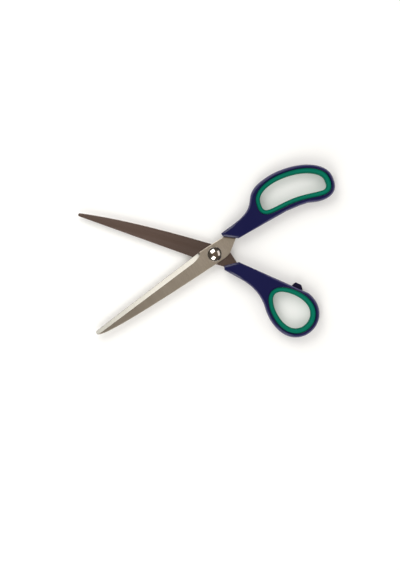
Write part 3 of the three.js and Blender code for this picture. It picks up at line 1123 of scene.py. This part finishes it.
def bufferBlock(name, grow):
    outline = bufferOutline(grow)
    tall = bufferSizes["height"] / 2 + grow
    piece = startRing(name, len(outline))
    growRings(piece, [[Vector((*p, z)) for p in outline] for z in (-tall, tall)])
    capEnds(piece, 2)
    closeUp(piece)
    return piece


cutWith(thumbHandle, bufferBlock("pocketCutter", pair["fitGap"]))
markRim(thumbHandle, seatLine(loopShapes["thumb"]))
seatPiece(
    thumbHandle, thumbPlace, edgeSizes["smooth"], [navyPlastic],
    "thumb_half", "thumb_handle",
)
stopBuffer = bufferBlock("stopBuffer", 0.0)
softenEdges(stopBuffer, bufferSizes["soft"], bufferSizes["softSteps"], bufferSizes["softAngle"])
seatPiece(
    stopBuffer, thumbPlace, bufferSizes["smooth"], [bufferRubber],
    "thumb_half", "stop_buffer",
)

# pivot
pivotSizes = {
    "shank": 3.0, "play": 0.1, "head": 6.45, "rim": 0.4, "headHeight": 3.1, "headSoft": 0.1,
    "domeStart": 0.985, "domeEnd": 89.8, "domeSteps": 24,  # share of the dome's half angle, then degrees
    "tail": 4.6, "tailRound": 1.2, "tailSteps": 8, "tailMiddle": 0.02,
    "washer": 5.6, "washerThickness": 0.8, "washerSoft": 0.12, "washerSteps": 2, "washerAngle": 40,
    "turns": 96, "smooth": 35,
}


def makeRivet():
    s = pivotSizes
    outer = pair["bladeGap"] / 2 + bladeSizes["thickness"]
    headLow = outer + s["play"]
    tailTop = -outer - 2 * s["play"] - s["washerThickness"]
    rise = s["headHeight"] - s["rim"]
    dome = (s["head"] ** 2 + rise**2) / (2 * rise)
    half = math.degrees(math.asin(s["head"] / dome))
    top = headLow + s["headHeight"]
    foot = (s["tail"] - s["tailRound"], s["tailRound"] - midPlane)
    profile = [(s["tailMiddle"], -midPlane)]
    profile += arcPoints(foot, s["tailRound"], -90, 0, s["tailSteps"])
    profile += [(s["tail"], tailTop), (s["shank"], tailTop)]
    profile += [(s["shank"], headLow), (s["head"] - s["headSoft"], headLow)]
    profile += [(s["head"], headLow + s["headSoft"]), (s["head"], headLow + s["rim"] - s["headSoft"])]
    profile += arcPoints((0, top - dome), dome, 90 - half * s["domeStart"], s["domeEnd"], s["domeSteps"])
    piece = revolve("pivotRivet", profile, s["turns"])
    capEnds(piece, 2)
    closeUp(piece)
    return piece


def makeWasher():
    s = pivotSizes
    high = -pair["bladeGap"] / 2 - bladeSizes["thickness"] - s["play"]
    low = high - s["washerThickness"]
    bore = s["shank"] + s["play"]
    profile = [(bore, low), (s["washer"], low), (s["washer"], high), (bore, high)]
    piece = revolve("rivetWasher", profile, s["turns"])
    selectOpenEdges(piece)
    bpy.ops.mesh.bridge_edge_loops()
    closeUp(piece)
    softenEdges(piece, s["washerSoft"], s["washerSteps"], s["washerAngle"])
    return piece


pivotRivet = makeRivet()
seatPiece(
    pivotRivet, pivotPlace, pivotSizes["smooth"], [polishedRivet],
    "thumb_half", "pivot_rivet",
)
rivetWasher = makeWasher()
seatPiece(
    rivetWasher, pivotPlace, pivotSizes["smooth"], [washerSteel],
    "thumb_half", "rivet_washer",
)

# floor, light and camera
studio = {
    "floor": 24.0,
    "floorDrop": 0.0002,
    "paper": (linear(231, 231, 229), linear(235, 235, 233)),
    "paperPatches": 6.0,
    "paperRoughness": 0.9,
    "paperShine": 0.1,
    "paperGlow": (0.125, 0.12, 0.11, 1),  # light that comes through the sheet
    # light that fills the set, from the horizon up
    "fill": (
        (0.0, (0.675, 0.67, 0.67, 1)),
        (0.6, (0.61, 0.605, 0.605, 1)),
        (1.0, (0.455, 0.45, 0.46, 1)),
    ),
    # walls that bright metal mirrors between the softboxes
    "walls": (
        (0.0, (0.075, 0.068, 0.055, 1)),
        (0.6, (0.085, 0.07, 0.055, 1)),
        (1.0, (0.175, 0.13, 0.095, 1)),
    ),
    # name, azimuth, lean and roll in degrees, width, height, radiance, colour
    "boxes": (
        ("upperBox", 114.5, 42, 0, 0.78, 0.66, 3.0, (1, 0.985, 0.96)),
        ("lowerBox", 246, 47, -20, 0.55, 0.73, 3.4, (1, 0.99, 0.97)),
        ("rightBox", 6.5, 50, 0, 0.95, 0.45, 1.0, (1, 0.95, 0.92)),
    ),
}
# the camera hangs over a point of the floor and looks straight down
cameraSet = {
    "over": (-0.01691, -0.02503),
    "height": 1.5,  # above the middle of the handles
    "roll": -8.685,
    "sensor": 36.0,
    "seen": 0.5053,  # metres from the frame's top to its bottom
}


def makeFloor():
    bpy.ops.object.select_all(action="DESELECT")
    bpy.ops.mesh.primitive_plane_add(size=studio["floor"], location=(0, 0, -studio["floorDrop"]))
    floor = bpy.context.object
    floor.name = "paleFloor"
    material, tree, shader = newMaterial("paperFloor")
    grain = placeGroup(tree, grainGroup, (-700, 0), Patch_Scale=studio["paperPatches"])
    base = colourMix(tree, (-400, 200), grain.outputs["Patches"], *studio["paper"])
    tree.links.new(base, shader.inputs["Base Color"])
    shader.inputs["Roughness"].default_value = studio["paperRoughness"]
    shader.inputs["Emission Color"].default_value = studio["paperGlow"]
    shader.inputs["Emission Strength"].default_value = 1.0
    shader.inputs["Specular IOR Level"].default_value = studio["paperShine"]
    floor.data.materials.append(material)


def softbox(name, azimuth, lean, roll, width, height, radiance, colour):
    # hangs a metre from the pivot, leaning from straight above, and faces it
    turn, tip = math.radians(azimuth), math.radians(lean)
    place = Vector((math.sin(tip) * math.cos(turn), math.sin(tip) * math.sin(turn), math.cos(tip)))
    bpy.ops.object.light_add(type="AREA", location=place)
    lamp = bpy.context.object
    lamp.name = name
    lamp.data.shape = "RECTANGLE"
    lamp.data.size, lamp.data.size_y = width, height
    lamp.data.energy = radiance * math.pi * width * height
    lamp.data.color = colour
    aim = (-place).to_track_quat("-Z", "Y").to_matrix()
    lamp.rotation_euler = (aim @ Matrix.Rotation(math.radians(roll), 3, "Z")).to_euler()


def skyRamp(tree, height, stops):
    ramp = tree.nodes.new("ShaderNodeValToRGB")
    tree.links.new(height, ramp.inputs["Fac"])
    marks = ramp.color_ramp.elements
    marks[0].position, marks[0].color = stops[0]
    marks[1].position, marks[1].color = stops[-1]
    for place, colour in stops[1:-1]:
        marks.new(place).color = colour
    return ramp.outputs["Color"]


def makeWorld():
    world = bpy.data.worlds.new("studio")
    bpy.context.scene.world = world
    world.use_nodes = True
    tree = world.node_tree
    where = tree.nodes.new("ShaderNodeTexCoord")
    parts = tree.nodes.new("ShaderNodeSeparateXYZ")
    path = tree.nodes.new("ShaderNodeLightPath")
    tree.links.new(where.outputs["Generated"], parts.inputs["Vector"])
    fill = skyRamp(tree, parts.outputs["Z"], studio["fill"])
    walls = skyRamp(tree, parts.outputs["Z"], studio["walls"])
    sky = colourMix(tree, (0, 0), path.outputs["Is Glossy Ray"], fill, walls)
    tree.links.new(sky, tree.nodes["Background"].inputs["Color"])


def makeCamera():
    c = cameraSet
    lens = bpy.data.cameras.new("topCamera")
    lens.sensor_fit = "VERTICAL"
    lens.sensor_height = c["sensor"]
    lens.lens = c["sensor"] * c["height"] / c["seen"]
    camera = bpy.data.objects.new("topCamera", lens)
    camera.location = (*c["over"], c["height"] + midPlane * mm)
    camera.rotation_euler = (0, 0, math.radians(c["roll"]))
    bpy.context.scene.collection.objects.link(camera)
    bpy.context.scene.camera = camera


makeFloor()
makeWorld()
for box in studio["boxes"]:
    softbox(*box)
makeCamera()
bpy.context.scene.view_settings.view_transform = "Standard"
print("floor, lights and camera set")
